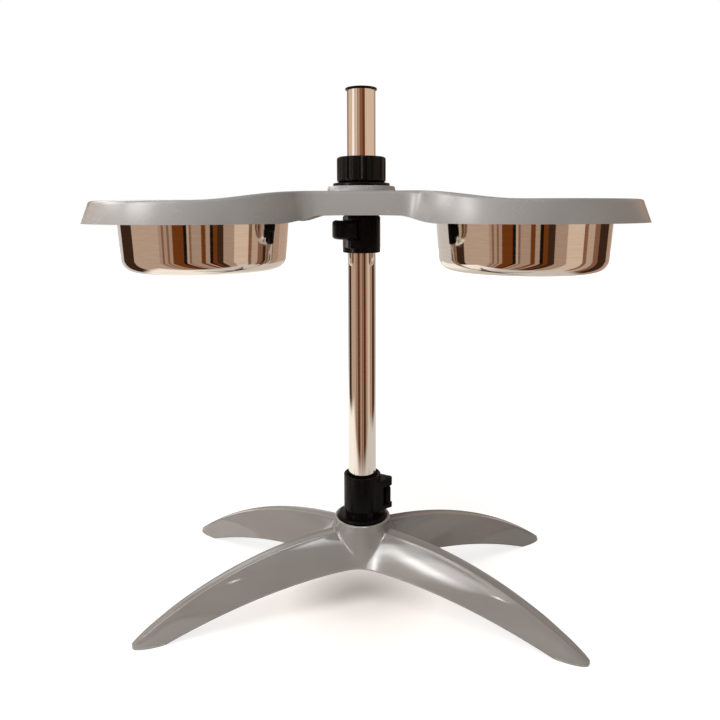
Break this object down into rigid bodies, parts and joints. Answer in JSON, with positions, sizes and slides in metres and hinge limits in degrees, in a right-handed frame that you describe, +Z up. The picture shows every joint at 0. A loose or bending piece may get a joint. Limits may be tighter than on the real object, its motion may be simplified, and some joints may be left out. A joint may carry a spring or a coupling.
{
  "type": "dog feeder stand",
  "caption": "Dog feeder stand: arched legs carry a chrome post, and a tray with lift-out steel bowls slides and swivels on it under lever clamps and a fluted nut.",
  "frame": {"origin": "on the floor, on the post's axis", "axes": "+X along the tray, towards the right-hand bowl; +Y to the back; +Z up the post"},
  "size_m": [0.5444, 0.2302, 0.5062],
  "materials": {
    "moulding": "warm mid-grey moulding, soft gloss",
    "black_plastic": "black, satin",
    "chrome_tube": "bright chrome plate",
    "bowl_steel": "mirror-polished stainless steel",
    "pin_steel": "plain steel",
    "rubber": "matt black"
  },
  "bodies": {
    "base": {"base": "moulding", "foot_pad_front_left": "rubber", "foot_pad_front_right": "rubber", "foot_pad_back_left": "rubber", "foot_pad_back_right": "rubber", "base_collar": "black_plastic", "base_lever_pin": "pin_steel"},
    "base_lever": {"base_lever": "black_plastic"},
    "base_shoe": {"base_shoe": "black_plastic"},
    "base_washer": {"base_washer": "black_plastic"},
    "base_nut": {"base_nut": "black_plastic"},
    "post": {"post_tube": "chrome_tube", "post_cap": "black_plastic", "post_plug": "black_plastic"},
    "tray_collar": {"tray_collar": "black_plastic", "tray_lever_pin": "pin_steel"},
    "tray_lever": {"tray_lever": "black_plastic"},
    "tray_shoe": {"tray_shoe": "black_plastic"},
    "tray": {"tray": "moulding"},
    "tray_washer": {"tray_washer": "black_plastic"},
    "tray_nut": {"tray_nut": "black_plastic"},
    "bowl_left": {"bowl_left": "bowl_steel"},
    "bowl_right": {"bowl_right": "bowl_steel"}
  },
  "joints": [
    {"name": "post_slide", "type": "slide", "parent": "base", "child": "post", "axis": [0, 0, 1], "range_m": [-0.03, 0.03]},
    {"name": "tray_slide", "type": "slide", "parent": "post", "child": "tray_collar", "axis": [0, 0, 1], "range_m": [-0.18, 0.055]},
    {"name": "tray_swivel", "type": "hinge", "parent": "tray_collar", "child": "tray", "pos_m": [0, 0, 0.3923], "axis": [0, 0, 1], "continuous": true},
    {"name": "tray_lever_swing", "type": "hinge", "parent": "tray_collar", "child": "tray_lever", "pos_m": [-0.00717, -0.02499, 0.3688], "axis": [0, 0, 1], "range_deg": [0, 110]},
    {"name": "base_lever_swing", "type": "hinge", "parent": "base", "child": "base_lever", "pos_m": [0.02578, 0.00339, 0.0985], "axis": [0, 0, -1], "range_deg": [0, 110]},
    {"name": "tray_shoe_slide", "type": "slide", "parent": "tray_collar", "child": "tray_shoe", "axis": [-0.2756, -0.9613, 0], "range_m": [0, 0.0004]},
    {"name": "base_shoe_slide", "type": "slide", "parent": "base", "child": "base_shoe", "axis": [0.9914, 0.1305, 0], "range_m": [0, 0.0004]},
    {"name": "tray_washer_lift", "type": "slide", "parent": "tray_collar", "child": "tray_washer", "axis": [0, 0, 1], "range_m": [0, 0.003]},
    {"name": "tray_nut_turn", "type": "hinge", "parent": "tray_washer", "child": "tray_nut", "pos_m": [0, 0, 0.428], "axis": [0, 0, 1], "range_deg": [0, 360]},
    {"name": "base_washer_drop", "type": "slide", "parent": "base", "child": "base_washer", "axis": [0, 0, -1], "range_m": [0, 0.003]},
    {"name": "base_nut_turn", "type": "hinge", "parent": "base_washer", "child": "base_nut", "pos_m": [0, 0, 0.052], "axis": [0, 0, -1], "range_deg": [0, 360]},
    {"name": "bowl_left_lift", "type": "slide", "parent": "tray", "child": "bowl_left", "axis": [0, 0, 1], "range_m": [0, 0.12]},
    {"name": "bowl_right_lift", "type": "slide", "parent": "tray", "child": "bowl_right", "axis": [0, 0, 1], "range_m": [0, 0.12]}
  ],
  "couplings": [
    {"joint": "tray_shoe_slide", "follows": "tray_lever_swing", "m_per_rad": 0.000208},
    {"joint": "base_shoe_slide", "follows": "base_lever_swing", "m_per_rad": 0.000208},
    {"joint": "tray_washer_lift", "follows": "tray_nut_turn", "m_per_rad": 0.000477},
    {"joint": "base_washer_drop", "follows": "base_nut_turn", "m_per_rad": 0.000477}
  ]
}
